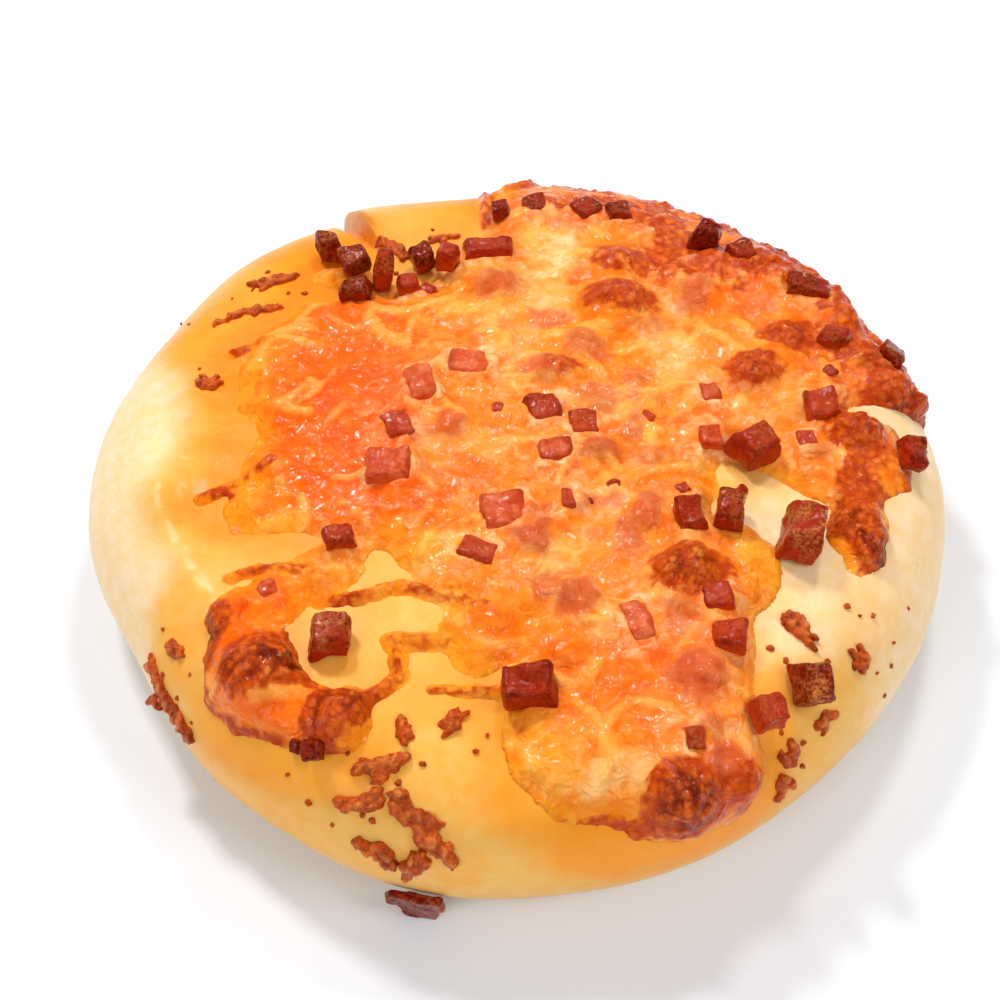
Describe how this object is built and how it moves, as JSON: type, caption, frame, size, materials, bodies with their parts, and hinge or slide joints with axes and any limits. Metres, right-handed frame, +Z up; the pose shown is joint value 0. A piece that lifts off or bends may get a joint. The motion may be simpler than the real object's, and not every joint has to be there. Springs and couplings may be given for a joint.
{
  "type": "ham pizza",
  "caption": "Small round ham pizza on a thick bread base, under melted grated cheese and diced ham, with a strip of ham that slid off the front edge.",
  "frame": {"origin": "on the underside, at the middle of the bun", "axes": "+Z up; -Y towards the side the picture looks from, where the strip of ham slid off; +X to the right of it"},
  "size_m": [0.1203, 0.12, 0.0315],
  "materials": {
    "bread": "baked crust, slightly glossy where it browned",
    "cheese": "melted, oily gloss",
    "ham": "moist, browned at the edges"
  },
  "bodies": {
    "root": {"bread": "bread", "cheese": "cheese", "ham_01": "ham", "ham_02": "ham", "ham_03": "ham", "ham_04": "ham", "ham_05": "ham", "ham_06": "ham", "ham_07": "ham", "ham_08": "ham", "ham_09": "ham", "ham_10": "ham", "ham_11": "ham", "ham_12": "ham", "ham_13": "ham", "ham_14": "ham", "ham_15": "ham", "ham_16": "ham", "ham_17": "ham", "ham_18": "ham", "ham_19": "ham", "ham_20": "ham", "ham_21": "ham", "ham_22": "ham", "ham_23": "ham", "ham_24": "ham", "ham_25": "ham", "ham_26": "ham", "ham_27": "ham", "ham_28": "ham", "ham_29": "ham", "ham_30": "ham", "ham_31": "ham", "ham_32": "ham", "ham_33": "ham", "ham_34": "ham", "ham_35": "ham", "ham_36": "ham", "ham_37": "ham", "ham_38": "ham", "ham_39": "ham", "ham_40": "ham", "ham_41": "ham", "ham_42": "ham", "ham_43": "ham", "ham_44": "ham", "ham_45": "ham", "ham_46": "ham", "ham_fallen": "ham"}
  },
  "joints": []
}
